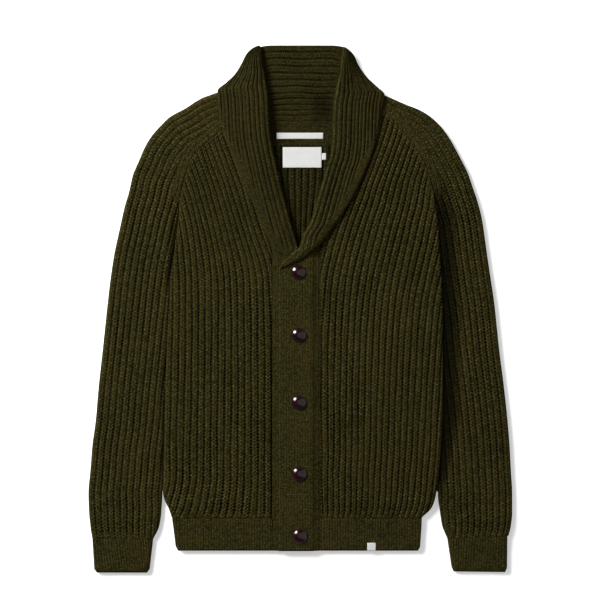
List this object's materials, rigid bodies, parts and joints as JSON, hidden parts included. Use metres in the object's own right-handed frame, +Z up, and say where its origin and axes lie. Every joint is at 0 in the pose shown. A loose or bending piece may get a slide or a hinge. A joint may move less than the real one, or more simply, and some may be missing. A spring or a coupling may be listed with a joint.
{
  "type": "shawl collar cardigan",
  "caption": "Chunky ribbed knit cardigan with a shawl collar, a buttoned front and raglan sleeves, laid flat on its back.",
  "frame": {"origin": "centre of the outline on the surface that the garment lies on", "axes": "+X towards the wearer's left, +Y from the hem to the collar, +Z up off the surface"},
  "size_m": [0.656, 0.8167, 0.0226],
  "materials": {
    "body_knit": "chunky ribbed wool knit in dark olive with brown and green flecks",
    "rib_knit": "fine 1x1 rib knit in dark olive",
    "button": "glossy dark burgundy",
    "label_tape": "pale woven tape, left blank",
    "tag_tape": "pale woven tape, left blank"
  },
  "bodies": {
    "root": {"back": "body_knit", "front_left": "body_knit", "front_right": "body_knit", "sleeve_left": "body_knit", "sleeve_right": "body_knit", "lapel_left": "body_knit", "lapel_right": "body_knit", "collar_back": "body_knit", "band_left": "rib_knit", "band_right": "rib_knit", "hem_back": "rib_knit", "hem_left": "rib_knit", "hem_right": "rib_knit", "cuff_left": "rib_knit", "cuff_right": "rib_knit", "button_1": "button", "button_2": "button", "button_3": "button", "button_4": "button", "button_5": "button", "neck_label": "label_tape", "size_tab": "label_tape", "strip_label": "label_tape", "hem_tag": "tag_tape"}
  },
  "joints": []
}
